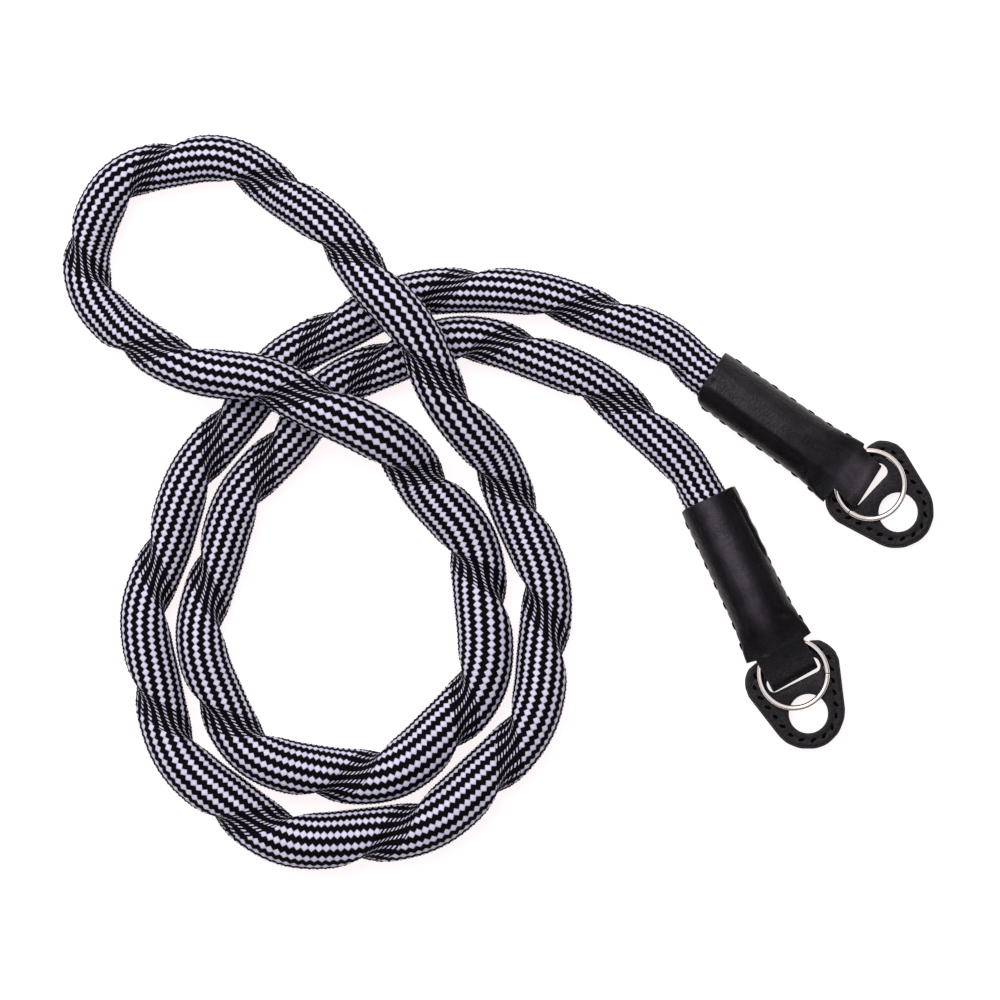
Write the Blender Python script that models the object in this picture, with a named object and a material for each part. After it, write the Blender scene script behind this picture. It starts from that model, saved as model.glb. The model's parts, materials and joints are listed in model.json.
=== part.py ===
"""A coiled camera strap, lying as it is put down on a table.

One rope of padded tubular braid, set in a left-handed corkscrew, lies in two loose turns and a
figure-eight loop that crosses over both. Each end of it sits in a black leather sleeve. The sleeve
flattens into a tongue, which folds over a split ring and back through the slot of a drop-shaped
leather guard. Modelled in metres, +Z up, with the floor at z = 0 and the origin at the middle of
the ground that the strap covers.
"""
import math
from collections import namedtuple

import bmesh
import bpy
from mathutils import Matrix, Vector

MM = 0.001

# Clearance that every two neighbouring pieces keep
GAP = 0.3 * MM

# Rope: braid over a soft filling, with a groove that follows the inside of its corkscrew
ROPE_RADIUS = 6.8 * MM
ROPE_END_RADIUS = 6.2 * MM
CORKSCREW_RADIUS = 0.7 * MM
GROOVE_DEPTH = 2.0 * MM
GROOVE_HALF_WIDTH = math.radians(36.0)
CALM_LENGTH = 16.0 * MM
ROPE_SIDES = 12
RINGS_PER_TURN = 10

# Leather sleeve, from its mouth to the shoulders where it narrows into the tongue
SLEEVE_LENGTH = 46.4 * MM
SLEEVE_WALL = 1.6 * MM
SLEEVE_SIDE_ROOM = 0.2 * MM
SHOULDER_HALF_WIDTH = 10.0 * MM
ROPE_SEAT = 24.0 * MM
LEATHER = 1.6 * MM

# Tongue: the leather that goes over the ring, down through the slot and back underneath
TONGUE_NECK = 1.0 * MM
FOLD_RADIUS = 1.6 * MM
FLAP_LENGTH = 15.0 * MM

# Guard: two plies of leather in the outline of a drop, with the tongue's slot and the lug's hole
GUARD_THICKNESS = 2.6 * MM
GUARD_EDGE = 0.5 * MM
LUG_HOLE_RADIUS = 5.5 * MM
GUARD_TIP_BACK = 0.5 * MM
GUARD_TIP_RADIUS = 10.4 * MM
GUARD_SHOULDER_BACK = 12.0 * MM
GUARD_SHOULDER_SIDE = 6.9 * MM
GUARD_SHOULDER_RADIUS = 6.8 * MM
GUARD_POINTS = 40
SLOT_BACK = 11.6 * MM
SLOT_WIDTH = 4.4 * MM
SLOT_LENGTH = 16.4 * MM

# Split ring of round wire, closed up to a hairline
RING_RADIUS = 10.2 * MM
WIRE_RADIUS = 0.78 * MM
RING_SPLIT = 0.2 * MM
RING_STEPS = 40
WIRE_SIDES = 8

# What lies on what, counted up from the floor at each end
GUARD_BOTTOM = LEATHER + GAP
GUARD_TOP = GUARD_BOTTOM + GUARD_THICKNESS
RING_HEIGHT = GUARD_TOP + GAP + WIRE_RADIUS
TONGUE_BOTTOM = RING_HEIGHT + WIRE_RADIUS + GAP
TONGUE_HEIGHT = TONGUE_BOTTOM + LEATHER / 2

BORE_RADIUS = ROPE_END_RADIUS + GAP
SLEEVE_HALF_HEIGHT = BORE_RADIUS + SLEEVE_WALL
SLEEVE_HALF_WIDTH = SLEEVE_HALF_HEIGHT + SLEEVE_SIDE_ROOM
CROSSING_RISE = 2 * (ROPE_RADIUS + CORKSCREW_RADIUS) + GAP

# The places on the floor below are counted from where the strap's middle was first guessed. Its
# real middle, which is the origin, lies here.
MIDDLE_X = -1.1 * MM
MIDDLE_Y = -0.4 * MM

# Where each end lies: the middle of its mouth and its heading on the floor, in millimetres and
# degrees. Then, in the end's own directions, how far its mouth, its shoulders and its tongue
# lean to the side, how wide the tongue is, and how far past the shoulders and to the side the
# tongue folds, the guard's hole lies and the ring has slipped to.
End = namedtuple("End", "name x y heading mouth_side shoulder_side tongue_side tongue_width "
                        "fold_past hole_past hole_side guard_turn ring_past ring_side split_at")
ENDS = (
    End("a", 57.5, 34.7, -35.3, mouth_side=0.0, shoulder_side=-0.2, tongue_side=0.3,
        tongue_width=12.6, fold_past=8.1, hole_past=18.9, hole_side=-0.3, guard_turn=-8,
        ring_past=8.1, ring_side=1.4, split_at=232),
    End("b", 56.6, 0.4, -64.6, mouth_side=0.5, shoulder_side=0.7, tongue_side=0.3,
        tongue_width=13.6, fold_past=9.6, hole_past=20.2, hole_side=0.4, guard_turn=-3,
        ring_past=8.4, ring_side=1.3, split_at=66),
)

# The rope's way over the floor from end a to end b, in millimetres. Lift is 0 where it lies on
# the floor and 1 where it rides over a strand.
RoutePoint = namedtuple("RoutePoint", "x y lift")
ROUTE = (
    RoutePoint(38, 48.5, 0), RoutePoint(15.5, 55.5, 0), RoutePoint(-7.5, 59.5, 0),
    RoutePoint(-30, 55, 0), RoutePoint(-51, 45.5, 0), RoutePoint(-69.5, 29.5, 0),
    RoutePoint(-83.5, 11, 0), RoutePoint(-93.5, -10.5, 0), RoutePoint(-99, -33.5, 0),
    RoutePoint(-96, -56.5, 0), RoutePoint(-85, -77, 0), RoutePoint(-66, -91, 0),
    RoutePoint(-43, -95, 0), RoutePoint(-20.5, -88.8, 0), RoutePoint(-1.5, -74.5, 0),
    RoutePoint(10, -54, 0), RoutePoint(12, -31, 0), RoutePoint(7, -8.5, 0),
    RoutePoint(-4, 12.5, 0.25), RoutePoint(-17, 32, 0.9), RoutePoint(-29, 52.5, 1),
    RoutePoint(-44, 70.5, 0.6), RoutePoint(-61.5, 86.5, 0.1), RoutePoint(-82.5, 95.5, 0),
    RoutePoint(-104.5, 89.5, 0), RoutePoint(-116.5, 69.5, 0), RoutePoint(-107, 48.5, 0.25),
    RoutePoint(-86.5, 37.5, 0.9), RoutePoint(-63.5, 31.5, 1.05), RoutePoint(-42, 22.5, 0.92),
    RoutePoint(-23.5, 7.5, 0.25), RoutePoint(-10, -11.5, 0), RoutePoint(-4.5, -34.5, 0),
    RoutePoint(-10, -57, 0), RoutePoint(-26.5, -72.7, 0), RoutePoint(-49.5, -77, 0),
    RoutePoint(-70.5, -68, 0), RoutePoint(-82.5, -48, 0), RoutePoint(-82, -25, 0),
    RoutePoint(-74.5, -3, 0), RoutePoint(-61, 16, 0), RoutePoint(-44, 32.5, 0),
    RoutePoint(-23, 42.5, 0), RoutePoint(0.5, 43.5, 0), RoutePoint(22, 34, 0),
    RoutePoint(41, 20.5, 0),
)

# How far the corkscrew has turned, at a share of the way from mouth to mouth
TwistMark = namedtuple("TwistMark", "share turns")
TWIST = (TwistMark(0.045, 0.5), TwistMark(0.437, 11.5), TwistMark(0.597, 16.5),
         TwistMark(0.976, 27.5))

# How full the rope is, as a share of ROPE_RADIUS: it was pushed together where it lies thickest
Fullness = namedtuple("Fullness", "share size")
FULLNESS = (
    Fullness(0.00, 0.93), Fullness(0.06, 0.95), Fullness(0.16, 1.02), Fullness(0.22, 1.06),
    Fullness(0.26, 1.18), Fullness(0.30, 1.16), Fullness(0.35, 1.07), Fullness(0.42, 1.02),
    Fullness(0.49, 0.97), Fullness(0.60, 1.00), Fullness(0.66, 1.13), Fullness(0.70, 1.15),
    Fullness(0.75, 1.18), Fullness(0.79, 1.07), Fullness(0.86, 1.00), Fullness(1.00, 0.95),
)

# The sleeve from mouth to shoulders: its place as a share of SLEEVE_LENGTH, then how far its top,
# its underside and its sides have come from the tube's size to the flat shoulders'
SleeveSection = namedtuple("SleeveSection", "share top bottom side")
SLEEVE = (
    SleeveSection(0.00, 0.00, 0.00, -0.25), SleeveSection(0.05, 0.00, 0.00, -0.05),
    SleeveSection(0.35, 0.00, 0.00, 0.02), SleeveSection(0.58, 0.05, 0.00, 0.06),
    SleeveSection(0.70, 0.22, 0.06, 0.12), SleeveSection(0.78, 0.44, 0.26, 0.20),
    SleeveSection(0.85, 0.70, 0.62, 0.38), SleeveSection(0.90, 0.88, 0.90, 0.62),
    SleeveSection(0.94, 1.00, 1.00, 0.85), SleeveSection(1.00, 1.00, 1.00, 1.00),
)
BORE_SHARES = (0.25, 0.5, 0.75, 1.0)
CORNER_STEPS = 4

Finish = namedtuple("Finish", "colour roughness metallic")
BRAID = Finish((0.20, 0.19, 0.22), 0.8, 0.0)
BLACK_LEATHER = Finish((0.012, 0.011, 0.012), 0.45, 0.0)
NICKEL = Finish((0.78, 0.75, 0.72), 0.15, 1.0)


def clear_scene():
    for item in list(bpy.data.objects):
        bpy.data.objects.remove(item, do_unlink=True)


def make_material(name, finish):
    material = bpy.data.materials.new(name)
    material.use_nodes = True
    shader = material.node_tree.nodes["Principled BSDF"]
    shader.inputs["Base Color"].default_value = (*finish.colour, 1.0)
    shader.inputs["Roughness"].default_value = finish.roughness
    shader.inputs["Metallic"].default_value = finish.metallic
    return material


def add_object(name, build, finish, smooth_below=60.0):
    """A named object from a filled bmesh, shaded smooth but for its sharp edges."""
    bmesh.ops.recalc_face_normals(build, faces=build.faces[:])
    mesh = bpy.data.meshes.new(name)
    build.to_mesh(mesh)
    build.free()
    mesh.shade_smooth()
    mesh.set_sharp_from_angle(angle=math.radians(smooth_below))
    mesh.materials.append(make_material(name, finish))
    item = bpy.data.objects.new(name, mesh)
    bpy.context.scene.collection.objects.link(item)
    return item


def loft(build, rings):
    """Quads between equal rings of points, with a cap on the first and on the last."""
    rows = [[build.verts.new(point) for point in ring] for ring in rings]
    for low, high in zip(rows, rows[1:]):
        for here in range(len(low)):
            after = (here + 1) % len(low)
            build.faces.new((low[here], low[after], high[after], high[here]))
    build.faces.new(rows[0][::-1])
    build.faces.new(rows[-1])


def ease(share):
    """0 to 1 with a level start and finish."""
    share = min(max(share, 0.0), 1.0)
    return share * share * (3.0 - 2.0 * share)


def between(start, finish, share):
    return start + (finish - start) * share


def on_floor(x, y, lift=0.0):
    """A point from places in millimetres, raised by a share of the height of a crossing."""
    return Vector((x * MM - MIDDLE_X, y * MM - MIDDLE_Y, lift * CROSSING_RISE))


def end_frame(end):
    """The matrix that puts an end's own along, side and up at its place on the floor."""
    place = Matrix.Translation(on_floor(end.x, end.y))
    return place @ Matrix.Rotation(math.radians(end.heading), 4, "Z")


def in_mouth(end, depth):
    """A point on the floor below the axis of the end's bore, at a depth from its mouth."""
    return end_frame(end) @ Vector((depth, 0.0, 0.0))


def route_points():
    """The ground below the rope, raised where it rides over, with its seat in each sleeve."""
    first, last = ENDS
    points = [in_mouth(first, ROPE_SEAT), in_mouth(first, ROPE_SEAT / 2), in_mouth(first, 0.0)]
    points += [on_floor(stop.x, stop.y, stop.lift) for stop in ROUTE]
    points += [in_mouth(last, 0.0), in_mouth(last, ROPE_SEAT / 2), in_mouth(last, ROPE_SEAT)]
    return points


def catmull_rom(before, start, finish, after, share):
    """The Barry and Goldman form, with knots at the square root of the chords."""
    t0 = 0.0
    t1 = t0 + math.sqrt((start - before).length)
    t2 = t1 + math.sqrt((finish - start).length)
    t3 = t2 + math.sqrt((after - finish).length)
    t = t1 + share * (t2 - t1)
    a1 = before.lerp(start, (t - t0) / (t1 - t0))
    a2 = start.lerp(finish, (t - t1) / (t2 - t1))
    a3 = finish.lerp(after, (t - t2) / (t3 - t2))
    b1 = a1.lerp(a2, (t - t0) / (t2 - t0))
    b2 = a2.lerp(a3, (t - t1) / (t3 - t1))
    return b1.lerp(b2, (t - t1) / (t2 - t1))


def smooth_curve(points, steps=24):
    """A fine chain of points along the smooth curve through the given ones."""
    outer = [2 * points[0] - points[1], *points, 2 * points[-1] - points[-2]]
    chain = []
    for before, start, finish, after in zip(outer, outer[1:], outer[2:], outer[3:]):
        for step in range(steps):
            chain.append(catmull_rom(before, start, finish, after, step / steps))
    chain.append(points[-1].copy())
    return chain


def chain_lengths(chain):
    """The way walked at each point of a chain."""
    walked = [0.0]
    for low, high in zip(chain, chain[1:]):
        walked.append(walked[-1] + (high - low).length)
    return walked


def place_at(chain, walked, length):
    """The point and the direction of a chain at a length along it."""
    here = 1
    while here < len(chain) - 1 and walked[here] < length:
        here += 1
    low, high = chain[here - 1], chain[here]
    share = (length - walked[here - 1]) / (walked[here] - walked[here - 1])
    return low.lerp(high, share), (high - low).normalized()


def read_table(rows, share):
    """A table's second column at a share of the way, carried on past its first and last row."""
    for start, finish in zip(rows, rows[1:]):
        if share <= finish[0] or finish is rows[-1]:
            pace = (finish[1] - start[1]) / (finish[0] - start[0])
            return start[1] + (share - start[0]) * pace


def rope_rings():
    """Rings of points down the rope: a round section with one groove, swung round its axis."""
    chain = smooth_curve(route_points())
    walked = chain_lengths(chain)
    length = walked[-1]
    way = length - 2 * ROPE_SEAT
    turns = read_table(TWIST, 1.0) - read_table(TWIST, 0.0)
    count = round(RINGS_PER_TURN * turns * length / way)
    rings = []
    for index in range(count + 1):
        at = length * index / count
        centre, ahead = place_at(chain, walked, at)
        side = ahead.cross(Vector((0.0, 0.0, 1.0))).normalized()
        up = side.cross(ahead)
        share = (at - ROPE_SEAT) / way
        free = ease((min(at, length - at) - ROPE_SEAT) / CALM_LENGTH)
        size = read_table(FULLNESS, share)
        groove_at = 2 * math.pi * read_table(TWIST, share)
        radius = between(ROPE_END_RADIUS, ROPE_RADIUS * size, free)
        swing = CORKSCREW_RADIUS * size * free
        groove = GROOVE_DEPTH * size * free
        centre.z = max(centre.z, 0.0)
        centre = centre + (radius + swing + (1 - free) * (GAP + SLEEVE_WALL)) * up
        centre = centre - swing * (math.cos(groove_at) * side + math.sin(groove_at) * up)
        ring = []
        for step in range(ROPE_SIDES):
            angle = 2 * math.pi * step / ROPE_SIDES
            off = (angle - groove_at + math.pi) % (2 * math.pi) - math.pi
            out = radius - groove * math.exp(-(off / GROOVE_HALF_WIDTH) ** 2)
            ring.append(centre + out * (math.cos(angle) * side + math.sin(angle) * up))
        rings.append(ring)
    return rings


def make_rope():
    build = bmesh.new()
    loft(build, rope_rings())
    add_object("rope", build, BRAID, 80.0)


def rounded_section(half_width, half_height, side=0.0):
    """Points (across, up) of a flat oval: a rectangle whose corners are full quarter rounds."""
    corner = min(half_width, half_height)
    points = []
    for quarter, (across, up) in enumerate(((1, 1), (-1, 1), (-1, -1), (1, -1))):
        middle = Vector((across * (half_width - corner), up * (half_height - corner)))
        for step in range(CORNER_STEPS + 1):
            angle = math.pi / 2 * (quarter + step / CORNER_STEPS)
            points.append(middle + corner * Vector((math.cos(angle), math.sin(angle))))
    return [(point.x + side, point.y) for point in points]


def upright_ring(along, half_width, bottom, top, side=0.0):
    """A section of the sleeve, standing square to its axis."""
    section = rounded_section(half_width, (top - bottom) / 2, side)
    return [Vector((along, across, (top + bottom) / 2 + up)) for across, up in section]


def tilted_ring(end, along, height, tilt):
    """A section of the tongue, square to its run, which points down by the tilt in degrees."""
    section = rounded_section(end.tongue_width * MM / 2, LEATHER / 2, end.tongue_side * MM)
    lean = math.radians(tilt)
    return [Vector((along + up * math.sin(lean), across, height + up * math.cos(lean)))
            for across, up in section]


def sleeve_rings(end):
    """The outside from mouth to shoulders, in the end's own directions."""
    rings = []
    for row in SLEEVE:
        top = between(2 * SLEEVE_HALF_HEIGHT, TONGUE_BOTTOM + LEATHER, row.top)
        bottom = between(0.0, TONGUE_BOTTOM, row.bottom)
        half_width = between(SLEEVE_HALF_WIDTH, SHOULDER_HALF_WIDTH, row.side)
        side = between(end.mouth_side, end.shoulder_side, max(row.side, 0.0)) * MM
        rings.append(upright_ring(row.share * SLEEVE_LENGTH, half_width, bottom, top, side))
    return rings


def bore_rings():
    """The blind bore that holds the rope, from its far end back to the mouth."""
    depth = ROPE_SEAT + GAP
    height = SLEEVE_HALF_HEIGHT
    wide = BORE_RADIUS + SLEEVE_SIDE_ROOM
    rings = [upright_ring(depth * share, wide, height - BORE_RADIUS, height + BORE_RADIUS)
             for share in BORE_SHARES]
    mouth = upright_ring(0.0, wide, height - BORE_RADIUS, height + BORE_RADIUS)
    return rings[::-1] + [mouth]


def tongue_rings(end):
    """The tongue over the ring, the fold through the slot and the flap back underneath."""
    low = LEATHER / 2
    fold = SLEEVE_LENGTH + end.fold_past * MM
    hub = fold - low - FOLD_RADIUS
    rings = [tilted_ring(end, SLEEVE_LENGTH + TONGUE_NECK, TONGUE_HEIGHT, 0)]
    for hub_height, tilts in ((TONGUE_HEIGHT - FOLD_RADIUS, (0, 30, 60, 90)),
                              (low + FOLD_RADIUS, (90, 120, 150, 180))):
        for tilt in tilts:
            along = hub + FOLD_RADIUS * math.sin(math.radians(tilt))
            height = hub_height + FOLD_RADIUS * math.cos(math.radians(tilt))
            rings.append(tilted_ring(end, along, height, tilt))
    rings.append(tilted_ring(end, fold - FLAP_LENGTH, low, 180))
    return rings


def make_sleeve(end):
    build = bmesh.new()
    rings = bore_rings() + sleeve_rings(end) + tongue_rings(end)
    frame = end_frame(end)
    loft(build, [[frame @ point for point in ring] for ring in rings])
    add_object("end_sleeve_" + end.name, build, BLACK_LEATHER, 50.0)


def guard_outline(inset):
    """Points on the outline of a drop: the wrap round its tip and its two shoulders."""
    rounds = ((-GUARD_TIP_BACK, 0.0, GUARD_TIP_RADIUS),
              (-GUARD_SHOULDER_BACK, GUARD_SHOULDER_SIDE, GUARD_SHOULDER_RADIUS),
              (-GUARD_SHOULDER_BACK, -GUARD_SHOULDER_SIDE, GUARD_SHOULDER_RADIUS))
    points = []
    for step in range(GUARD_POINTS):
        angle = 2 * math.pi * (step + 0.5) / GUARD_POINTS
        out = Vector((math.cos(angle), math.sin(angle)))
        reach = max(rounds, key=lambda spot: spot[0] * out.x + spot[1] * out.y + spot[2])
        points.append(Vector(reach[:2]) + (reach[2] - inset) * out)
    return points


def guard_frame(end):
    """The matrix that puts the guard's own directions, from its lug hole, at its place."""
    slip = Matrix.Translation((SLEEVE_LENGTH + end.hole_past * MM, end.hole_side * MM, 0.0))
    return end_frame(end) @ slip @ Matrix.Rotation(math.radians(end.guard_turn), 4, "Z")


def cut(item, name, build):
    """Takes a cutter of its own, hidden from renders, out of the item."""
    cutter = add_object(name, build, BLACK_LEATHER)
    cutter.hide_render = True
    cutter.display_type = "WIRE"
    boolean = item.modifiers.new(name, "BOOLEAN")
    boolean.operation = "DIFFERENCE"
    boolean.object = cutter


def make_guard(end):
    frame = guard_frame(end)
    build = bmesh.new()
    levels = ((GUARD_BOTTOM, GUARD_EDGE), (GUARD_BOTTOM + GUARD_EDGE, 0.0),
              (GUARD_TOP - GUARD_EDGE, 0.0), (GUARD_TOP, GUARD_EDGE))
    loft(build, [[frame @ point.to_3d() + Vector((0.0, 0.0, height))
                  for point in guard_outline(inset)] for height, inset in levels])
    guard = add_object("lug_guard_" + end.name, build, BLACK_LEATHER, 30.0)

    deep = 2 * GUARD_THICKNESS
    middle = Matrix.Translation((0.0, 0.0, (GUARD_BOTTOM + GUARD_TOP) / 2))
    hole = bmesh.new()
    bmesh.ops.create_cone(hole, cap_ends=True, segments=32, radius1=LUG_HOLE_RADIUS,
                          radius2=LUG_HOLE_RADIUS, depth=deep, matrix=frame @ middle)
    cut(guard, "hole_cutter_" + end.name, hole)

    slot = bmesh.new()
    section = rounded_section(SLOT_LENGTH / 2, SLOT_WIDTH / 2)
    rings = [[frame @ Vector((-SLOT_BACK - up, across, height)) for across, up in section]
             for height in (GUARD_BOTTOM - GAP / 2, GUARD_TOP + GAP / 2)]
    loft(slot, rings)
    cut(guard, "slot_cutter_" + end.name, slot)


def make_ring(end):
    """Round wire bent to a circle whose two ends all but meet."""
    build = bmesh.new()
    bend = RING_RADIUS - WIRE_RADIUS
    open_angle = RING_SPLIT / bend
    place = Vector((SLEEVE_LENGTH + end.ring_past * MM, end.ring_side * MM, RING_HEIGHT))
    middle = end_frame(end) @ place
    start = math.radians(end.heading + end.split_at) + open_angle / 2
    sweep = 2 * math.pi - open_angle
    rings = []
    for step in range(RING_STEPS + 1):
        angle = start + sweep * step / RING_STEPS
        out = Vector((math.cos(angle), math.sin(angle), 0.0))
        rings.append([middle + (bend + WIRE_RADIUS * math.cos(turn)) * out
                      + Vector((0.0, 0.0, WIRE_RADIUS * math.sin(turn)))
                      for turn in (2 * math.pi * side / WIRE_SIDES for side in range(WIRE_SIDES))])
    loft(build, rings)
    add_object("split_ring_" + end.name, build, NICKEL, 60.0)


def main():
    clear_scene()
    make_rope()
    for end in ENDS:
        make_sleeve(end)
        make_guard(end)
        make_ring(end)


main()
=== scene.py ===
"""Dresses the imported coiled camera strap: its braid, leather ends, lug guards and split rings."""
import json
import math
from collections import namedtuple

import bpy
import numpy as np
from mathutils import Matrix, Vector

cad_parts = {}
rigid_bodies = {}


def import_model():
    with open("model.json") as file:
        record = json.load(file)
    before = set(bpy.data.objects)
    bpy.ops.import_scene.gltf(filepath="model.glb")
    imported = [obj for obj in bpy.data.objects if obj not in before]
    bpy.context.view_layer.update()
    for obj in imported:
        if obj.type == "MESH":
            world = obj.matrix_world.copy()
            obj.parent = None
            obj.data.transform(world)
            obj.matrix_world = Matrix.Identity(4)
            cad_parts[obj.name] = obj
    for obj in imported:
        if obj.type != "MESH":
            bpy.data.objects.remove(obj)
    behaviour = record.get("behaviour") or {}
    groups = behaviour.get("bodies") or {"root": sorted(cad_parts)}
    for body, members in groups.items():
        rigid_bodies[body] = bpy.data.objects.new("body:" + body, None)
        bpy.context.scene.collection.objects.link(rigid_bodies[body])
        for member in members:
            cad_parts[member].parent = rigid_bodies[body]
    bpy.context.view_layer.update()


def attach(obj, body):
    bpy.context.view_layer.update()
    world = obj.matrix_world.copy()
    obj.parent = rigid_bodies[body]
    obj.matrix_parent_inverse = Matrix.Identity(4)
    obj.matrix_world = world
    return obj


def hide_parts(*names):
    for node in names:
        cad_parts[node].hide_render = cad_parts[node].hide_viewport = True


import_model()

bl_info = {
    "name": "Coiled Camera Strap",
    "version": (1, 0, 0),
    "blender": (4, 5, 0),
    "location": "3D View > Sidebar > Camera Strap",
    "description": "Braided rope, leather ends, lug guards and split rings of a coiled strap",
    "category": "Mesh",
}

MM = 0.001
BODY = "root"

# Sizes and the lie of the strap, as in the part's own source
MIDDLE = Vector((-1.1 * MM, -0.4 * MM, 0.0))
GAP = 0.3 * MM
ROPE_END_RADIUS = 6.2 * MM
CALM_LENGTH = 16.0 * MM
SLEEVE_LENGTH = 46.4 * MM
SLEEVE_WALL = 1.6 * MM
SIDE_ROOM = 0.2 * MM
ROPE_SEAT = 24.0 * MM
LEATHER = 1.6 * MM
FOLD_RADIUS = 1.6 * MM
FLAP_LENGTH = 15.0 * MM
GUARD_THICKNESS = 2.6 * MM
WIRE_RADIUS = 0.78 * MM
RING_RADIUS = 10.2 * MM

GUARD_BOTTOM = LEATHER + GAP
GUARD_TOP = GUARD_BOTTOM + GUARD_THICKNESS
RING_HEIGHT = GUARD_TOP + GAP + WIRE_RADIUS
TONGUE_BOTTOM = RING_HEIGHT + WIRE_RADIUS + GAP
TONGUE_HEIGHT = TONGUE_BOTTOM + LEATHER / 2
BORE_RADIUS = ROPE_END_RADIUS + GAP
SLEEVE_HALF_HEIGHT = BORE_RADIUS + SLEEVE_WALL
SLEEVE_HALF_WIDTH = SLEEVE_HALF_HEIGHT + SIDE_ROOM
CROSSING_RISE = 15.3 * MM

# Each end's mouth and heading, then in its own directions how far its mouth and shoulders lean
# and where its fold, hole and ring lie. End b's fold and end a's split are the scene's own
End = namedtuple("End", "name x y heading mouth_side shoulder_side fold_past hole_past hole_side "
                        "guard_turn ring_past ring_side split_at")
END_A = End("a", 57.5, 34.7, -35.3, 0.0, -0.2, 8.1, 18.9, -0.3, -8, 8.1, 1.4, 267)
END_B = End("b", 56.6, 0.4, -64.6, 0.5, 0.7, 10.1, 20.2, 0.4, -3, 8.4, 1.3, 66)
ENDS = (END_A, END_B)

# Millimetres over the floor, and the share of a crossing's height
ROUTE = (
    (38, 48.5, 0), (15.5, 55.5, 0), (-7.5, 59.5, 0), (-30, 55, 0), (-51, 45.5, 0),
    (-69.5, 29.5, 0), (-83.5, 11, 0), (-93.5, -10.5, 0), (-99, -33.5, 0), (-96, -56.5, 0),
    (-85, -77, 0), (-66, -91, 0), (-43, -95, 0), (-20.5, -88.8, 0), (-1.5, -74.5, 0),
    (10, -54, 0), (12, -31, 0), (7, -8.5, 0), (-4, 12.5, 0.25), (-17, 32, 0.9), (-29, 52.5, 1),
    (-44, 70.5, 0.6), (-61.5, 86.5, 0.1), (-82.5, 95.5, 0), (-104.5, 89.5, 0),
    (-116.5, 69.5, 0), (-107, 48.5, 0.25), (-86.5, 37.5, 0.9), (-63.5, 31.5, 1.05),
    (-42, 22.5, 0.92), (-23.5, 7.5, 0.25), (-10, -11.5, 0), (-4.5, -34.5, 0), (-10, -57, 0),
    (-26.5, -72.7, 0), (-49.5, -77, 0), (-70.5, -68, 0), (-82.5, -48, 0), (-82, -25, 0),
    (-74.5, -3, 0), (-61, 16, 0), (-44, 32.5, 0), (-23, 42.5, 0), (0.5, 43.5, 0), (22, 34, 0),
    (41, 20.5, 0),
)
# Along the rope from mouth to mouth: how many turns its groove has made, and how full it is
TWIST = ((0.045, 0.5), (0.437, 11.5), (0.597, 16.5), (0.976, 27.5))
FULLNESS = (
    (0.00, 0.93), (0.06, 0.95), (0.16, 1.02), (0.22, 1.06), (0.26, 1.18), (0.30, 1.16),
    (0.35, 1.07), (0.42, 1.02), (0.49, 0.97), (0.60, 1.00), (0.66, 1.13), (0.70, 1.15),
    (0.75, 1.18), (0.79, 1.07), (0.86, 1.00), (1.00, 0.95),
)
# The leather wrap from mouth to shoulders: share of its length, then how far its top, its
# underside and its sides have come from the tube's size to the flat shoulders'. The top near
# the shoulders and the sides at the mouth differ a little from the part's source
WRAP = (
    (0.00, 0.00, 0.00, -0.12), (0.05, 0.00, 0.00, -0.03), (0.35, 0.00, 0.00, 0.02),
    (0.58, 0.05, 0.00, 0.06), (0.70, 0.22, 0.06, 0.12), (0.78, 0.43, 0.26, 0.20),
    (0.85, 0.66, 0.62, 0.38), (0.90, 0.82, 0.90, 0.62), (0.94, 0.92, 1.00, 0.85),
    (1.00, 1.00, 1.00, 1.00),
)


def linear(code):
    """Linear colour from an sRGB hex value."""
    parts = [int(code[start:start + 2], 16) / 255 for start in (1, 3, 5)]
    return tuple(part / 12.92 if part <= 0.04045 else ((part + 0.055) / 1.055) ** 2.4
                 for part in parts)


def length_setting(name, description, millimetres):
    """A length that a user may change."""
    return bpy.props.FloatProperty(name=name, description=description,
                                   default=millimetres * MM, unit="LENGTH", subtype="DISTANCE")


def colour_setting(name, description, code):
    """A colour that a user may change, from its sRGB hex value."""
    return bpy.props.FloatVectorProperty(name=name, description=description, size=3,
                                         subtype="COLOR", default=linear(code))


class StrapBraidSettings(bpy.types.PropertyGroup):
    radius: length_setting("Rope radius", "Half the rope's thickness between its grooves", 6.8)
    corkscrew: length_setting("Corkscrew", "How far the rope swings about its own line", 0.7)
    groove_depth: length_setting("Groove depth", "How deep the twisted rope's groove is", 2.0)
    groove_angle: bpy.props.FloatProperty(
        name="Groove angle", description="Half the angle that the groove takes of the section",
        default=math.radians(36.0), unit="ROTATION", subtype="ANGLE")
    pitch: length_setting("Diamond pitch", "Length of one diamond along the rope", 1.95)
    rows: bpy.props.IntProperty(
        name="Rows", description="Rows of light diamonds round the rope", default=14, min=3)
    relief: length_setting("Relief", "Height of each diamond's crown over its corners", 0.42)
    light: colour_setting("Light yarn", "Colour of the light yarn", "#DAD7E9")
    dark: colour_setting("Dark yarn", "Colour of the dark yarn", "#0A080B")


class StrapLeatherSettings(bpy.types.PropertyGroup):
    shoulder_width: length_setting(
        "Shoulder width", "Half the width of the wrap where it lies flat", 10.0)
    shoulder_height: length_setting(
        "Shoulder thickness", "Thickness of the two layers at the shoulders", 2.5)
    grain: length_setting("Grain", "Width of one pebble of the grain", 0.5)
    face: colour_setting("Leather", "Colour of the waxed grain side", "#0E0C0F")
    # Painted sheen: the colour painted on the leather's crest and raised parts in place of their
    # highlights and reflections
    painted_sheen_colour: colour_setting(
        "Burnished leather", "Colour of the parts that handling has worn", "#3B353B")
    edge: colour_setting("Cut edge", "Colour of the leather's cut edges", "#272326")


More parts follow.
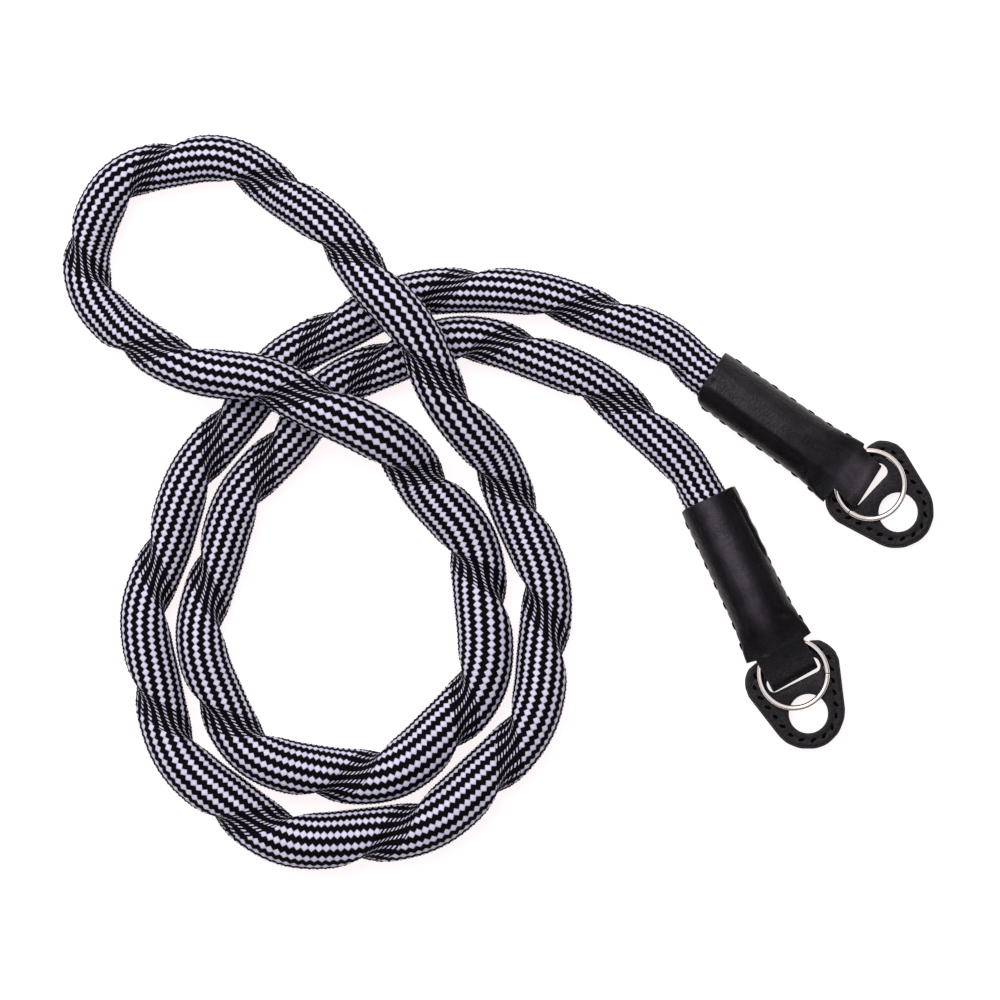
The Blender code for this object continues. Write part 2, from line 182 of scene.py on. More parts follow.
class StrapGuardSettings(bpy.types.PropertyGroup):
    hole_radius: length_setting(
        "Lug hole radius", "Radius of the round hole for the camera's lug", 5.5)
    slot_width: length_setting(
        "Slot width", "Width of the slot that the tongue goes through", 4.4)
    slot_length: length_setting("Slot length", "Length of the slot", 16.4)
    seam_inset: length_setting("Seam inset", "From the guard's edge to its stitches", 2.45)
    stitch_pitch: length_setting("Stitch pitch", "From one stitch to the next", 3.35)
    thread: colour_setting("Thread", "Colour of the waxed thread", "#040304")


class StrapRingSettings(bpy.types.PropertyGroup):
    split: length_setting("Split", "Gap between the ring's two ends", 0.2)
    plate: colour_setting("Nickel", "Colour of the nickel plate", "#FAF0E4")


class StrapStageSettings(bpy.types.PropertyGroup):
    lens: bpy.props.FloatProperty(
        name="Lens", description="Focal length of the camera, in millimetres", default=300.0)
    view_width: length_setting(
        "View width", "Width of the floor that the camera takes in", 280.0)
    key_power: bpy.props.FloatProperty(
        name="Key light", description="Power of the large soft light overhead",
        default=45.0, unit="POWER")
    surround: bpy.props.FloatProperty(
        name="Surround", description="Brightness of the white surround", default=0.76)


def between(start, finish, share):
    return start + (finish - start) * share


def ease(share):
    """0 to 1 with a level start and finish."""
    share = np.clip(share, 0.0, 1.0)
    return share * share * (3.0 - 2.0 * share)


def bell(distance, width):
    """1 in the middle, falling off to nothing a few widths away."""
    return np.exp(-(distance / width) ** 2)


def read_table(rows, shares, column=1):
    """A table's column at shares of the way, carried on past its first and last row."""
    places = [row[0] for row in rows]
    values = [row[column] for row in rows]
    start_pace = (values[1] - values[0]) / (places[1] - places[0])
    last_pace = (values[-1] - values[-2]) / (places[-1] - places[-2])
    places = [places[0] - 1.0, *places, places[-1] + 1.0]
    values = [values[0] - start_pace, *values, values[-1] + last_pace]
    return np.interp(shares, places, values)


def deselect_all():
    for item in bpy.context.view_layer.objects:
        item.select_set(False)
    bpy.context.view_layer.objects.active = None


def select_only(item):
    deselect_all()
    item.select_set(True)
    bpy.context.view_layer.objects.active = item


def apply_modifiers(item):
    select_only(item)
    for modifier in list(item.modifiers):
        bpy.ops.object.modifier_apply(modifier=modifier.name)


def finish_piece(item, material, slot, *nodes):
    """Gives a piece its material and its place in the frame."""
    item.data.materials.clear()
    item.data.materials.append(material)
    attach(item, BODY)
    if nodes:
        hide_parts(*nodes)


def add_piece(name, points, faces):
    """A smooth piece from its points and faces."""
    mesh = bpy.data.meshes.new(name)
    mesh.from_pydata([tuple(point) for point in points], [], faces)
    mesh.shade_smooth()
    item = bpy.data.objects.new(name, mesh)
    bpy.context.scene.collection.objects.link(item)
    return item


def add_attribute(item, name, values):
    """A number at each point of the mesh for the material to read, with 0 at those left over."""
    layer = item.data.attributes.new(name, "FLOAT", "POINT")
    full = np.zeros(len(item.data.vertices), dtype=np.float32)
    full[:values.size] = values.ravel()
    layer.data.foreach_set("value", full)


def add_node(material, kind, inputs=None, output=0, **settings):
    """Adds a shader node, gives it its settings, and sets or links its inputs."""
    tree = material.node_tree
    node = tree.nodes.new("ShaderNode" + kind)
    for name, value in settings.items():
        setattr(node, name, value)
    for name, value in (inputs or {}).items():
        if isinstance(value, bpy.types.NodeSocket):
            tree.links.new(value, node.inputs[name])
        else:
            node.inputs[name].default_value = value
    return node.outputs[output] if node.outputs else None


def new_material(name):
    material = bpy.data.materials.new(name)
    material.use_nodes = True
    material.node_tree.nodes.clear()
    return material


def rgba(colour):
    return (colour[0], colour[1], colour[2], 1.0)


def braid_material(braid):
    """Braided polyester yarn over a soft core: dull, dark, with flat light diamonds."""
    made = new_material("braided_polyester")
    uv = add_node(made, "UVMap", uv_map="braid")
    across = add_node(made, "SeparateXYZ", {0: uv}, 0)
    along = across.node.outputs[1]
    # Yarns cross on a lattice of thirds of a row by halves of a pitch
    back = add_node(made, "Math", {0: along, 1: -1.0}, operation="MULTIPLY")
    cells, insides, offs = [], [], []
    for way in (along, back):
        yarn = add_node(made, "Math", {0: across, 1: 1.5, 2: way}, operation="MULTIPLY_ADD")
        cells.append(add_node(made, "Math", {0: yarn}, operation="ROUND"))
        insides.append(add_node(made, "Math", {0: yarn, 1: cells[-1]}, operation="SUBTRACT"))
        offs.append(add_node(made, "Math", {0: insides[-1]}, operation="ABSOLUTE"))
    rim = add_node(made, "Math", {0: offs[0], 1: offs[1]}, operation="MAXIMUM")

    # The light diamonds of a row run into each other, and every second row is half a pitch on
    row = add_node(made, "Math", {0: across}, operation="ROUND")
    off_row = add_node(made, "Math", {0: across, 1: row}, operation="SUBTRACT")
    from_row = add_node(made, "Math", {0: off_row}, operation="ABSOLUTE")
    step = add_node(made, "Math", {0: row, 1: -1.5, 2: along}, operation="MULTIPLY_ADD")
    nearest = add_node(made, "Math", {0: step}, operation="ROUND")
    from_middle = add_node(made, "Math", {0: step, 1: nearest}, operation="SUBTRACT")
    from_middle = add_node(made, "Math", {0: from_middle}, operation="ABSOLUTE")
    reach = add_node(made, "Math", {0: from_middle, 1: 0.56, 2: from_row},
                     operation="MULTIPLY_ADD")
    diamond = add_node(made, "MapRange", {0: reach, 1: 0.355, 2: 0.325, 3: 0.0, 4: 1.0})

    # In the groove the light yarns show only as thin slanted dashes
    slant = add_node(made, "Math", {0: off_row, 1: -2.55, 2: 0.5}, operation="MULTIPLY_ADD")
    beat = add_node(made, "Math", {0: along, 1: 1.64, 2: slant}, operation="MULTIPLY_ADD")
    beat = add_node(made, "Math", {0: beat}, operation="FRACT")
    beat = add_node(made, "Math", {0: beat, 1: 0.5}, operation="SUBTRACT")
    beat = add_node(made, "Math", {0: beat}, operation="ABSOLUTE")
    beat = add_node(made, "MapRange", {0: beat, 1: 0.25, 2: 0.17, 3: 0.0, 4: 1.0})
    near_row = add_node(made, "MapRange", {0: from_row, 1: 0.2, 2: 0.14, 3: 0.0, 4: 1.0})
    dash = add_node(made, "Math", {0: beat, 1: near_row}, operation="MULTIPLY")
    groove = add_node(made, "Attribute", output=2, attribute_name="groove")
    groove = add_node(made, "MapRange", {0: groove, 1: 0.25, 2: 0.30, 3: 0.0, 4: 1.0})
    mask = add_node(made, "Mix", {0: groove, 2: diamond, 3: dash}, data_type="FLOAT")

    # Each yarn is a bundle of filaments, drawn at eight to a diamond so that they show
    filament = add_node(made, "Math", {0: insides[1], 1: 2 * math.pi * 8}, operation="MULTIPLY")
    filament = add_node(made, "Math", {0: filament}, operation="SINE")
    cell_seed = add_node(made, "CombineXYZ", {0: cells[0], 1: cells[1], 2: 0.0})
    cell_tone = add_node(made, "TexWhiteNoise", {0: cell_seed}, noise_dimensions="3D")
    tone = add_node(made, "MapRange", {0: cell_tone, 1: 0.0, 2: 1.0, 3: 0.93, 4: 1.04})
    tone = add_node(made, "Math", {0: filament, 1: 0.03, 2: tone}, operation="MULTIPLY_ADD")
    shade = add_node(made, "MapRange", {0: rim, 1: 0.36, 2: 0.5, 3: 1.0, 4: 0.7})
    tone = add_node(made, "Math", {0: tone, 1: shade}, operation="MULTIPLY")
    colour = add_node(made, "Mix", {0: mask, 6: rgba(braid.dark), 7: rgba(braid.light)}, 2,
                      data_type="RGBA")
    colour = add_node(made, "VectorMath", {0: colour, 3: tone}, operation="SCALE")

    height = add_node(made, "MapRange", {0: rim, 1: 0.5, 2: 0.3, 3: 0.0, 4: 1.0})
    height = add_node(made, "Math", {0: filament, 1: 0.12, 2: height}, operation="MULTIPLY_ADD")
    bump = add_node(made, "Bump", {"Height": height, "Strength": 0.5, "Distance": 0.08 * MM})
    surface = add_node(made, "BsdfPrincipled", {
        "Base Color": colour, "Roughness": 0.8, "Specular IOR Level": 0.06, "Normal": bump})
    add_node(made, "OutputMaterial", {0: surface})
    return made


def leather_material(name, leather, heading, wax, shine):
    """Waxed black bridle leather: a soft gloss over fine pores, and duller lighter edges."""
    made = new_material(name)
    place = add_node(made, "TexCoord", output=3)
    fine = add_node(made, "Mapping", {0: place, "Rotation": (0.0, 0.0, -heading),
                                      "Scale": (1 / MM, 1 / MM, 1 / MM)})
    drawn = add_node(made, "Mapping", {0: fine, "Scale": (0.16, 1.0, 1.0)})
    pebbles = add_node(made, "TexVoronoi", {"Vector": fine, "Scale": MM / leather.grain},
                       feature="SMOOTH_F1")
    pores = add_node(made, "TexNoise", {"Vector": fine, "Scale": 1.1, "Detail": 5.0})
    streaks = add_node(made, "TexNoise", {"Vector": drawn, "Scale": 0.9, "Detail": 4.0})
    clouds = add_node(made, "TexNoise", {"Vector": fine, "Scale": 0.25, "Detail": 3.0})
    dusk = add_node(made, "MapRange", {0: clouds, 1: 0.3, 2: 0.7, 3: 0.7, 4: 1.4})
    streaks_and_painted_sheen = add_node(made, "MapRange", {0: streaks, 1: 0.35, 2: 0.75, 3: 0.85, 4: 1.4})
    tone = add_node(made, "Math", {0: dusk, 1: streaks_and_painted_sheen}, operation="MULTIPLY")
    rim = add_node(made, "Attribute", output=2, attribute_name="cut_edge")
    colour = add_node(made, "Mix", {0: rim, 6: rgba(leather.face), 7: rgba(leather.edge)}, 2,
                      data_type="RGBA")
    colour = add_node(made, "VectorMath", {0: colour, 3: tone}, operation="SCALE")
    # Painted sheen: the crest and raised parts are painted greyer, standing in for their highlights
    # and for reflections of the floor
    painted_sheen = add_node(made, "Attribute", output=2, attribute_name="painted_sheen")
    painted_sheen = add_node(made, "Math", {0: painted_sheen, 1: tone}, operation="MULTIPLY")
    colour = add_node(made, "Mix", {0: painted_sheen, 6: colour, 7: rgba(leather.painted_sheen_colour)}, 2,
                      data_type="RGBA")
    gloss = add_node(made, "MapRange", {0: pores, 1: 0.3, 2: 0.7, 3: wax - 0.06, 4: wax + 0.08})
    gloss = add_node(made, "Mix", {0: rim, 2: gloss, 3: 0.62}, data_type="FLOAT")
    height = add_node(made, "Math", {0: pores, 1: 2.6, 2: pebbles}, operation="MULTIPLY_ADD")
    height = add_node(made, "Math", {0: streaks, 1: 1.6, 2: height}, operation="MULTIPLY_ADD")
    height = add_node(made, "Math", {0: clouds, 1: 2.0, 2: height}, operation="MULTIPLY_ADD")
    bump = add_node(made, "Bump", {"Height": height, "Strength": 0.6, "Distance": 0.11 * MM})
    surface = add_node(made, "BsdfPrincipled", {
        "Base Color": colour, "Roughness": gloss, "Specular IOR Level": shine, "Normal": bump})
    add_node(made, "OutputMaterial", {0: surface})
    return made


def thread_material(colour):
    """Waxed thread, twisted: dull black with fine slanted strands."""
    made = new_material("waxed_thread")
    place = add_node(made, "TexCoord", output=3)
    strands = add_node(made, "TexNoise", {"Vector": place, "Scale": 2.5 / MM, "Detail": 2.0})
    bump = add_node(made, "Bump", {"Height": strands, "Strength": 0.5, "Distance": 0.05 * MM})
    surface = add_node(made, "BsdfPrincipled", {
        "Base Color": rgba(colour), "Roughness": 0.8, "Specular IOR Level": 0.02,
        "Normal": bump})
    add_node(made, "OutputMaterial", {0: surface})
    return made


def nickel_material(colour):
    """Bright nickel plate on drawn steel wire: a mirror with a faint haze."""
    made = new_material("nickel_plated_steel")
    place = add_node(made, "TexCoord", output=3)
    haze = add_node(made, "TexNoise", {"Vector": place, "Scale": 0.3 / MM, "Detail": 1.0})
    gloss = add_node(made, "MapRange", {0: haze, 1: 0.3, 2: 0.7, 3: 0.06, 4: 0.12})
    bump = add_node(made, "Bump", {"Height": haze, "Strength": 0.05, "Distance": 0.01 * MM})
    surface = add_node(made, "BsdfPrincipled", {
        "Base Color": rgba(colour), "Metallic": 1.0, "Roughness": gloss, "Normal": bump})
    add_node(made, "OutputMaterial", {0: surface})
    return made


def table_material():
    """Opal acrylic table lit from below: even and bright, so that shadows stay faint."""
    made = new_material("backlit_opal_acrylic")
    place = add_node(made, "TexCoord", output=3)
    tooth = add_node(made, "TexNoise", {"Vector": place, "Scale": 0.8 / MM, "Detail": 2.0})
    bump = add_node(made, "Bump", {"Height": tooth, "Strength": 0.05, "Distance": 0.05 * MM})
    surface = add_node(made, "BsdfPrincipled", {
        "Base Color": rgba(linear("#989A9A")), "Roughness": 0.85, "Specular IOR Level": 0.1,
        "Emission Color": rgba(linear("#FFF6F6")), "Emission Strength": 0.89,
        "Normal": bump})
    add_node(made, "OutputMaterial", {0: surface})
    return made


def on_floor(x, y, lift=0.0):
    """A point from millimetres over the floor and a share of a crossing's height."""
    return Vector((x * MM, y * MM, lift * CROSSING_RISE)) - MIDDLE


def end_frame(end):
    """The matrix from an end's own along, side and up to its place on the floor."""
    return (Matrix.Translation(on_floor(end.x, end.y))
            @ Matrix.Rotation(math.radians(end.heading), 4, "Z"))


def catmull_rom(before, start, finish, after, share):
    """The Barry and Goldman form, with knots at the square root of the chords."""
    t0 = 0.0
    t1 = t0 + math.sqrt((start - before).length)
    t2 = t1 + math.sqrt((finish - start).length)
    t3 = t2 + math.sqrt((after - finish).length)
    t = t1 + share * (t2 - t1)
    a1 = before.lerp(start, (t - t0) / (t1 - t0))
    a2 = start.lerp(finish, (t - t1) / (t2 - t1))
    a3 = finish.lerp(after, (t - t2) / (t3 - t2))
    b1 = a1.lerp(a2, (t - t0) / (t2 - t0))
    b2 = a2.lerp(a3, (t - t1) / (t3 - t1))
    return b1.lerp(b2, (t - t1) / (t2 - t1))


def rope_chain(steps=24):
    """A fine chain of points on the ground below the rope, from seat to seat."""
    frames = [end_frame(end) for end in ENDS]
    seats = [[matrix @ Vector((depth, 0.0, 0.0))
              for depth in (ROPE_SEAT, ROPE_SEAT / 2, 0.0)] for matrix in frames]
    points = seats[0] + [on_floor(*stop) for stop in ROUTE] + seats[1][::-1]
    outer = [2 * points[0] - points[1], *points, 2 * points[-1] - points[-2]]
    chain = []
    for before, start, finish, after in zip(outer, outer[1:], outer[2:], outer[3:]):
        for step in range(steps):
            chain.append(catmull_rom(before, start, finish, after, step / steps))
    chain.append(points[-1])
    return np.array(chain)


# The reach that gives the rope's heading, the share of rows that crowd into the groove and how
# tightly, and how much of the relief lies over the radius and is lost in the groove
HEADING_REACH = 1.5 * MM
CROWD_SHARE = 0.03
CROWD_ANGLE = math.radians(32.0)
CROWN_SHARE = 0.35
GROOVE_CALM = 0.75


def rope_surface(braid):
    """The rope's rings of points, its path, and how deep in the groove each point lies."""
    chain = rope_chain()
    walked = np.concatenate(([0.0], np.cumsum(np.linalg.norm(np.diff(chain, axis=0), axis=1))))
    length = walked[-1]
    rings = 2 * round(length / braid.pitch) + 1
    at = np.linspace(0.0, length, rings)

    def chain_at(places):
        return np.stack([np.interp(places, walked, chain[:, axis]) for axis in range(3)], axis=1)

    ahead = chain_at(at + HEADING_REACH) - chain_at(at - HEADING_REACH)
    ahead /= np.linalg.norm(ahead, axis=1)[:, None]
    side = np.cross(ahead, (0.0, 0.0, 1.0))
    side /= np.linalg.norm(side, axis=1)[:, None]
    up = np.cross(side, ahead)

    share = (at - ROPE_SEAT) / (length - 2 * ROPE_SEAT)
    free = ease((np.minimum(at, length - at) - ROPE_SEAT) / CALM_LENGTH)
    size = read_table(FULLNESS, share)
    turn = 2 * math.pi * read_table(TWIST, share)
    radius = between(ROPE_END_RADIUS, braid.radius * size, free)
    swing = braid.corkscrew * size * free
    depth = braid.groove_depth * size * free
    centre = chain_at(at)
    centre[:, 2] = np.maximum(centre[:, 2], 0.0)
    lift = radius + swing + (1 - free) * (GAP + SLEEVE_WALL) + braid.relief * CROWN_SHARE
    centre += lift[:, None] * up
    centre -= (swing * np.cos(turn))[:, None] * side + (swing * np.sin(turn))[:, None] * up

    # Rows run lengthwise and crowd together in the groove
    columns = 3 * braid.rows
    fine = np.linspace(-math.pi, math.pi, 721)
    gathered = 0.5 * np.tanh(fine / CROWD_ANGLE) / math.tanh(math.pi / CROWD_ANGLE)
    spread = (1 - CROWD_SHARE) * fine / (2 * math.pi) + CROWD_SHARE * gathered
    row_share = np.arange(columns) / columns
    wanted = (row_share[None, :] - turn[:, None] / (2 * math.pi) + 0.5) % 1.0 - 0.5
    off = np.interp(wanted, spread, fine)
    angle = off + turn[:, None]
    in_groove = bell(off, braid.groove_angle)
    even = (np.arange(rings)[:, None] + np.arange(columns)[None, :]) % 2 == 0
    crown = np.where(even, CROWN_SHARE, CROWN_SHARE - 1.0)
    out = radius[:, None] - depth[:, None] * in_groove
    out = out + braid.relief * crown * (1.0 - GROOVE_CALM * in_groove)
    points = (centre[:, None, :] + (out * np.cos(angle))[:, :, None] * side[:, None, :]
              + (out * np.sin(angle))[:, :, None] * up[:, None, :])
    return points, centre, in_groove * free[:, None]


class STRAP_OT_rope(bpy.types.Operator):
    """Braid the rope along its loops"""
    bl_idname = "camera_strap.rope"
    bl_label = "Braided rope"

    def execute(self, context):
        braid = context.scene.strap_braid
        points, path, in_groove = rope_surface(braid)
        rings, columns = points.shape[:2]
        # Two triangles to a cell, cut between its corners, so that each diamond is a low crown
        ring, column = np.meshgrid(np.arange(rings - 1), np.arange(columns), indexing="ij")
        ring, column = ring.ravel(), column.ravel()
        even = (ring + column) % 2 == 0
        low_left, low_right = (ring, column), (ring, column + 1)
        high_left, high_right = (ring + 1, column), (ring + 1, column + 1)

        def triangles(chosen, corners):
            return np.stack([np.stack((spot[0][chosen], spot[1][chosen]), axis=1)
                             for spot in corners], axis=1)

        corners = np.concatenate((
            triangles(even, (low_left, low_right, high_left)),
            triangles(even, (low_right, high_right, high_left)),
            triangles(~even, (low_left, low_right, high_right)),
            triangles(~even, (low_left, high_right, high_left))))
        faces = corners[:, :, 0] * columns + corners[:, :, 1] % columns
        uv = np.stack((corners[:, :, 1] / 3.0, corners[:, :, 0] / 2.0), axis=2)

        tips = [points[0].mean(axis=0), points[-1].mean(axis=0)]
        first, last = rings * columns, rings * columns + 1
        top = (rings - 1) * columns
        caps = [(first, (step + 1) % columns, step) for step in range(columns)]
        caps += [(last, top + step, top + (step + 1) % columns) for step in range(columns)]
        cap_uv = np.zeros((len(caps), 3, 2))
        all_points = np.concatenate((points.reshape(-1, 3), tips))
        all_faces = np.concatenate((faces, np.array(caps)))[:, ::-1]
        all_uv = np.concatenate((uv, cap_uv))[:, ::-1]

        rope = add_piece("rope_braid", all_points, all_faces.tolist())
        layer = rope.data.uv_layers.new(name="braid")
        layer.data.foreach_set("uv", all_uv.astype(np.float32).ravel())
        add_attribute(rope, "groove", in_groove)
        finish_piece(rope, braid_material(braid), "braid", "rope")

        return {"FINISHED"}


def rounded_section(half_width, half_height, corner, count):
    """Evenly walked points (across, up) of a rounded rectangle, from its right middle."""
    corner = min(corner, half_width, half_height)
    rough = []
    for quarter, (across, rise) in enumerate(((1, 1), (-1, 1), (-1, -1), (1, -1))):
        for step in range(25):
            angle = math.pi / 2 * (quarter + step / 24)
            rough.append((across * (half_width - corner) + corner * math.cos(angle),
                          rise * (half_height - corner) + corner * math.sin(angle)))
    rough = np.array([(half_width, 0.0), *rough, (half_width, 0.0)])
    walked = np.concatenate(([0.0], np.cumsum(np.linalg.norm(np.diff(rough, axis=0), axis=1))))
    spots = np.arange(count) / count * walked[-1]
    return np.stack([np.interp(spots, walked, rough[:, axis]) for axis in range(2)], axis=1)


def skin(rings, closed=True):
    """Faces between equal rings of points, with a fan over the first and the last ring."""
    rings = np.asarray(rings)
    count, around = rings.shape[:2]
    sides = [(step, (step + 1) % around) for step in range(around)]
    faces = [(low + step, low + after, low + around + after, low + around + step)
             for low in range(0, (count - 1) * around, around) for step, after in sides]
    points = rings.reshape(-1, 3)
    if closed:
        points = np.concatenate((points, [rings[0].mean(axis=0), rings[-1].mean(axis=0)]))
        first, last, top = count * around, count * around + 1, (count - 1) * around
        for step, after in sides:
            faces += [(first, after, step), (last, top + step, top + after)]
    return points, faces


AROUND = 120
# The mouth's cut rim from the bore outwards: share of the wall, and how far back it lies
MOUTH_RIM = ((0.12, 0.05), (0.3, 0.0), (0.7, 0.0), (0.88, 0.05), (1.0, 0.22))
# The side seams of each wrap, in millimetres: its first stitch and from one to the next
SEAM_START = 4.5
SEAM_PITCH = 6.2
# End b's top layer stops short of its far side: how far along, and to the side
FLAP_EDGE = ((0.3, 6.5), (5.6, 7.3), (16.6, 7.6), (22.0, 7.9))
# How the tongue leaves the shoulders and where it folds: to the side and width at the start,
# the same at the fold, and how far the fold leans for each millimetre to the side
Tongue = namedtuple("Tongue", "start_side start_width fold_side fold_width lean")
TONGUES = {"a": Tongue(1.7, 14.0, 0.7, 13.8, -0.06), "b": Tongue(0.7, 14.6, 1.2, 14.3, -0.07)}
TONGUE_EDGE = 0.45 * MM
# Half the length, width and thickness of a lacing thread and of a guard's stitch
LACING_SIZE = (1.5 * MM, 0.42 * MM, 0.4 * MM)
STITCH_SIZE = (1.05 * MM, 0.52 * MM, 0.2 * MM)


def wrap_section(end, leather, share):
    """Half width, bottom, top and side lean of the wrap at a share of its length."""
    near = np.clip(share + np.linspace(-0.03, 0.03, 9), 0.0, 1.0)
    top_share, bottom_share, side_share = (read_table(WRAP, near, column).mean()
                                           for column in (1, 2, 3))
    top = between(2 * SLEEVE_HALF_HEIGHT, TONGUE_BOTTOM + leather.shoulder_height, top_share)
    bottom = between(0.0, TONGUE_BOTTOM, bottom_share)
    half_width = between(SLEEVE_HALF_WIDTH, leather.shoulder_width, side_share)
    side = between(end.mouth_side, end.shoulder_side, max(side_share, 0.0)) * MM
    return half_width, bottom, top, side


def wrap_relief(end, along, across, upward):
    """How far hand-worked leather stands out or sinks."""
    along, across, upward = along / MM, across / MM, upward / MM
    if end is END_A:
        ridge = 0.4 * bell(across + 2.4, 0.9) * ease(along / 4) * ease((40 - along) / 6)
        dent = -0.5 * bell(np.hypot(along - 1.95, across + 0.6), 0.55)
        crease = -0.7 * bell(along - 37.5 + 0.5 * (across + 7), 1.1) * bell(across + 7, 2.2)
        top = ridge + dent + crease
    else:
        hollow = -0.3 * bell(across - 4.4, 1.3) * ease(along / 6) * ease((42 - along) / 8)
        crease = -0.55 * bell(along - 38 - 0.6 * (across - 5), 1.2) * bell(across - 5, 2.0)
        fold = -0.35 * bell(across + 4.5, 1.0) * ease((along - 26) / 6)
        past = across - float(read_table(FLAP_EDGE, along))
        flap = ease((24 - along) / 6)
        layer = (0.35 * ease(past / 0.3) - 0.7 * bell(past, 0.22)) * flap
        top = hollow + crease + fold + layer
    top = np.where(upward > 0, top, 0.0)
    waves = 0.14 * np.cos(2 * math.pi * (along - SEAM_START) / SEAM_PITCH)
    sides = ease(along / 5) * ease((44 - along) / 5)
    edge = -waves * bell(upward, 2.4) * sides - 0.3 * bell(upward + 0.3, 0.35) * sides
    return (top + edge) * MM


def mouth_corner(end, along, across):
    """How far the mouth's edge draws back at its rounded corner, at a place of the wrap."""
    depth, start, width = (4.0, 3.6, 4.6) if end is END_A else (1.8, 5.0, 3.4)
    out = np.clip((-across / MM - start) / width, 0.0, 1.0)
    drawn = depth * (1.0 - np.sqrt(1.0 - out * out))
    return drawn * MM * ease(1.0 - along / (9 * MM))


def wrap_rings(end, leather):
    """The outside of the wrap from its mouth to its shoulders."""
    rings = []
    shares = np.concatenate((np.linspace(0.0, 0.02, 4)[1:], np.linspace(0.03, 1.0, 120)))
    for share in shares:
        half_width, bottom, top, side = wrap_section(end, leather, share)
        half_height = (top - bottom) / 2
        section = rounded_section(half_width, half_height, half_height, AROUND)
        ahead = np.roll(section, -1, axis=0) - np.roll(section, 1, axis=0)
        ahead /= np.linalg.norm(ahead, axis=1)[:, None]
        outward = np.stack((ahead[:, 1], -ahead[:, 0]), axis=1)
        along = share * SLEEVE_LENGTH
        relief = wrap_relief(end, along, section[:, 0], section[:, 1])
        section = section + outward * relief[:, None]
        rings.append([(along + mouth_corner(end, along, across), across + side,
                       (top + bottom) / 2 + rise) for across, rise in section])
    return rings


def mouth_rings(end, leather):
    """The blind bore from its far end to the mouth, and the rounded cut rim of the mouth."""
    height = SLEEVE_HALF_HEIGHT
    inner = rounded_section(BORE_RADIUS + SIDE_ROOM, BORE_RADIUS, BORE_RADIUS, AROUND)
    rings = [[(depth + mouth_corner(end, depth, across), across, height + rise)
              for across, rise in inner]
             for depth in np.linspace(ROPE_SEAT + GAP, 0.2 * MM, 14)]
    half_width, bottom, top, side = wrap_section(end, leather, 0.0)
    outer = rounded_section(half_width, (top - bottom) / 2, (top - bottom) / 2, AROUND)
    outer = outer + np.array((side, 0.0))
    for share, depth in MOUTH_RIM:
        rings.append([(depth * MM + mouth_corner(end, 0.0, across), across, height + rise)
                      for across, rise in between(inner, outer, share)])
    return rings


def tongue_rings(end, leather):
    """From the shoulders' cut front over the ring, down through the slot and back below."""
    shape = TONGUES[end.name]
    low = LEATHER / 2
    fold = SLEEVE_LENGTH + end.fold_past * MM
    hub = fold - low - FOLD_RADIUS
    start = SLEEVE_LENGTH + 0.4 * MM
    high_hub, low_hub = TONGUE_HEIGHT - FOLD_RADIUS, low + FOLD_RADIUS

    def bend(tilts, height):
        return [(hub + FOLD_RADIUS * math.sin(turn), height + FOLD_RADIUS * math.cos(turn), turn)
                for turn in (math.radians(tilt) for tilt in tilts)]

    spots = [(along, TONGUE_HEIGHT, 0.0) for along in np.linspace(start, hub, 14, endpoint=False)]
    spots += bend(np.linspace(0.0, 90.0, 12), high_hub)
    spots += [(hub + FOLD_RADIUS, height, math.pi / 2)
              for height in np.linspace(high_hub, low_hub, 6)[1:-1]]
    spots += bend(np.linspace(90.0, 180.0, 12), low_hub)
    spots += [(along, low, math.pi) for along in np.linspace(hub, fold - FLAP_LENGTH, 12)[1:]]
    rings = []
    for along, height, turn in spots:
        way = min((along - start) / (hub - start), 1.0) if turn < 0.01 else 1.0
        gone = float(ease(way))
        thick = between(LEATHER, leather.shoulder_height, (1.0 - way) ** 2)
        side = between(shape.start_side, shape.fold_side, gone) * MM
        half_width = between(shape.start_width, shape.fold_width, gone) * MM / 2
        middle = height + (thick - LEATHER) / 2
        section = rounded_section(half_width, thick / 2, TONGUE_EDGE, AROUND)
        rings.append([(along + rise * math.sin(turn) + shape.lean * across * gone, across + side,
                       middle + rise * math.cos(turn)) for across, rise in section])
    return rings


def make_leather_end(end, leather):
    bore = mouth_rings(end, leather)
    wrap = wrap_rings(end, leather)
    tongue = tongue_rings(end, leather)
    rings = np.array(bore + wrap + tongue)
    matrix = np.array(end_frame(end))
    placed = rings @ matrix[:3, :3].T + matrix[:3, 3]
    points, faces = skin(placed)
    item = add_piece("leather_end_" + end.name, points, faces)
    cut_edge = np.zeros(rings.shape[:2])
    cut_edge[len(bore) - 5:len(bore)] = 1.0
    shoulders = len(bore) + len(wrap)
    reach = np.abs(rings[shoulders:, :, 1] - rings[shoulders:, :, 1].mean(axis=1)[:, None])
    room = reach.max(axis=1)[:, None] - reach
    cut_edge[shoulders:] = ease(1.0 - room / (0.4 * MM))
    add_attribute(item, "cut_edge", cut_edge)

    # Painted sheen: end a's upper half and its top near the tongue, and end b's crest and a thin
    # band low on its left side, are painted lighter in place of highlights and floor reflections.
    # None is painted inside the bore or low down.
    along, across = rings[:, :, 0] / MM, rings[:, :, 1] / MM
    if end is END_A:
        streaks_and_painted_sheen = 0.22 * ease((across + 4.0) / 2.0) * ease((7.0 - across) / 2.5)
        streaks_and_painted_sheen = streaks_and_painted_sheen + 0.55 * ease((along - 44.0) / 4.0) * bell(across - 1.0, 5.0)
    else:
        streaks_and_painted_sheen = 0.95 * bell(across + 0.6, 2.3) * ease((46.0 - along) / 14.0)
        streaks_and_painted_sheen = streaks_and_painted_sheen + 0.3 * bell(across + 7.2, 0.8) * ease((40.0 - along) / 8.0)
    streaks_and_painted_sheen[:len(bore)] = 0.0
    streaks_and_painted_sheen = np.where(rings[:, :, 2] > 2.5 * MM, streaks_and_painted_sheen, 0.0)
    add_attribute(item, "painted_sheen", streaks_and_painted_sheen)
    return item


def sew(name, stitch, places):
    """One piece that is a copy of the stitch at each place."""
    points, faces = [], []
    for place in places:
        base = len(points)
        points += [place @ vertex.co for vertex in stitch.data.vertices]
        faces += [tuple(base + index for index in face.vertices)
                  for face in stitch.data.polygons]
    return add_piece(name, points, faces)


